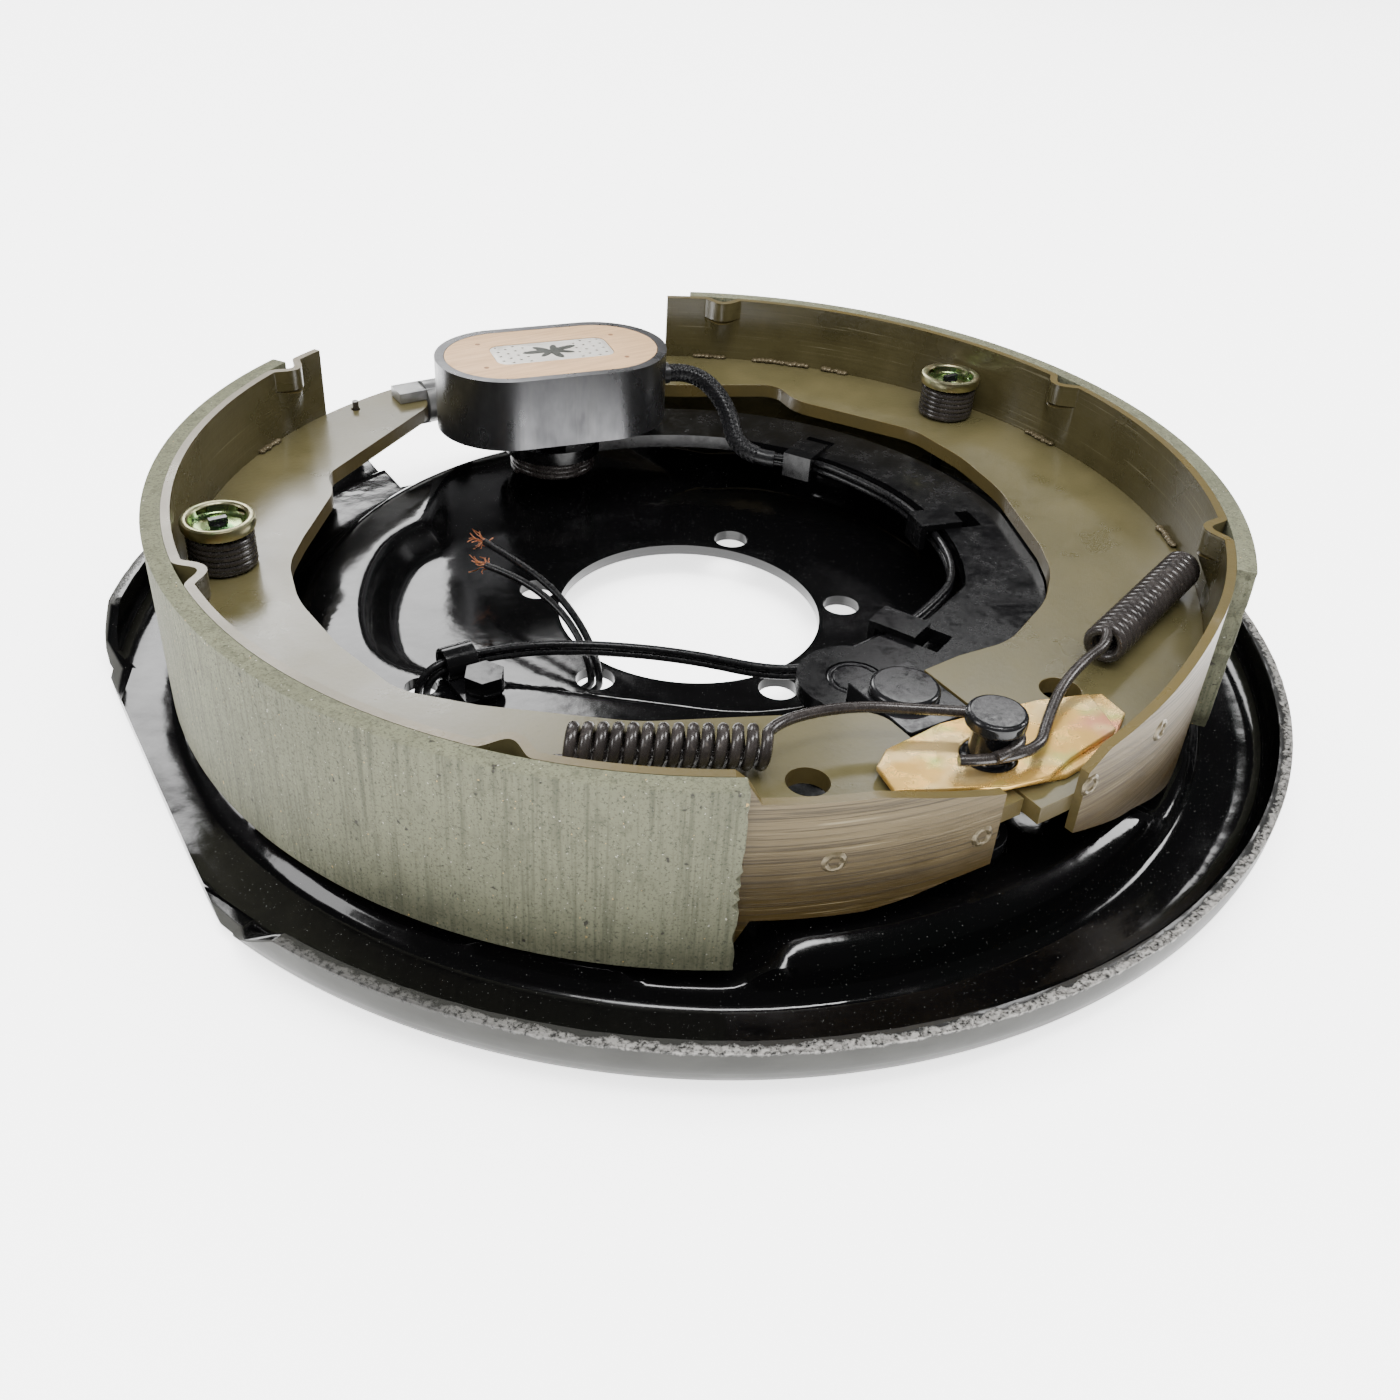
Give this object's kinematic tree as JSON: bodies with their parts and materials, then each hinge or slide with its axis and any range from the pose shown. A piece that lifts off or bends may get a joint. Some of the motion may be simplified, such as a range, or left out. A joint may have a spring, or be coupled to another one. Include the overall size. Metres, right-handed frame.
{
  "type": "electric trailer brake",
  "caption": "Electric drum brake for a trailer wheel, lying on its backing plate, with the magnet arm, lined shoes, springs and adjuster.",
  "frame": {"origin": "centre of the hub hole at the flange's mounting face", "axes": "+Z towards the drum, +Y from the hub to the anchor post, +X towards the primary shoe"},
  "size_m": [0.3407, 0.3476, 0.0642],
  "materials": {
    "black_paint": "gloss",
    "black_satin": "satin",
    "black_steel": "satin",
    "olive_paint": "satin",
    "lining": "matte",
    "gold_zinc": "satin",
    "green_zinc": "satin",
    "grey_zinc": "satin",
    "bare_steel": "satin",
    "friction_ring": "matte",
    "copper": "satin",
    "spring_steel": "satin",
    "sleeve": "matte",
    "lead_skin": "matte"
  },
  "bodies": {
    "plate": {"backing_plate": "black_paint", "anchor_post": "black_steel", "guide_plate_lower": "gold_zinc", "guide_plate_upper": "gold_zinc", "pivot_stud": "black_steel", "primary_hold_pin": "black_steel", "secondary_hold_pin": "black_steel", "primary_hold_cup": "green_zinc", "secondary_hold_cup": "green_zinc", "primary_hold_spring": "spring_steel", "secondary_hold_spring": "spring_steel", "primary_return_spring": "spring_steel", "secondary_return_spring": "spring_steel", "adjuster_spring": "spring_steel", "adjuster_socket": "grey_zinc", "cable_clip": "black_satin", "clip_screw": "black_steel", "lead_upper": "lead_skin", "lead_lower": "lead_skin"},
    "arm": {"actuating_arm": "black_satin", "block_rivet": "black_steel", "magnet_spring": "spring_steel", "lead_sleeve": "sleeve", "arm_lead_upper": "lead_skin", "arm_lead_lower": "lead_skin"},
    "magnet": {"magnet_case": "bare_steel", "magnet_core": "bare_steel", "magnet_coil": "copper", "magnet_face": "friction_ring", "magnet_clip": "black_steel", "magnet_stud": "black_steel"},
    "block": {"actuating_block": "black_steel"},
    "primary_shoe": {"primary_table": "olive_paint", "primary_web": "olive_paint", "primary_lining": "lining"},
    "secondary_shoe": {"secondary_table": "olive_paint", "secondary_web": "olive_paint", "secondary_lining": "lining"},
    "star": {"star_wheel": "black_steel"},
    "nut": {"adjuster_nut": "grey_zinc"}
  },
  "joints": [
    {"name": "arm_swing", "type": "hinge", "parent": "plate", "child": "arm", "pos_m": [-0.0015, 0.0786, 0.0226], "axis": [0, 0, 1], "range_deg": [-7, 0]},
    {"name": "magnet_lift", "type": "slide", "parent": "arm", "child": "magnet", "axis": [0, 0, 1], "range_m": [0, 0.003], "deforming": ["magnet_spring"]},
    {"name": "block_turn", "type": "hinge", "parent": "arm", "child": "block", "pos_m": [-0.003, 0.0956, 0.0278], "axis": [0, 0, 1], "range_deg": [0, 7]},
    {"name": "primary_shoe_swing", "type": "hinge", "parent": "plate", "child": "primary_shoe", "pos_m": [0.038, -0.131, 0.028], "axis": [0, 0, 1], "range_deg": [-0.52, 0], "deforming": ["primary_return_spring"]},
    {"name": "secondary_shoe_swing", "type": "hinge", "parent": "plate", "child": "secondary_shoe", "pos_m": [-0.001, 0.128, 0.028], "axis": [0, 0, 1], "range_deg": [-1.13, 0], "deforming": ["secondary_return_spring", "adjuster_spring"]},
    {"name": "star_turn", "type": "hinge", "parent": "plate", "child": "star", "pos_m": [0.02, -0.131, 0.028], "axis": [1, 0, 0], "range_deg": [0, 1440]},
    {"name": "nut_travel", "type": "slide", "parent": "plate", "child": "nut", "axis": [1, 0, 0], "range_m": [-0.00508, 0]}
  ],
  "couplings": [
    {"joint": "block_turn", "follows": "arm_swing", "ratio": -1},
    {"joint": "primary_shoe_swing", "follows": "arm_swing", "ratio": 0.0722},
    {"joint": "star_turn", "follows": "nut_travel", "rad_per_m": -4947.4},
    {"joint": "secondary_shoe_swing", "follows": "nut_travel", "rad_per_m": 3.861}
  ]
}
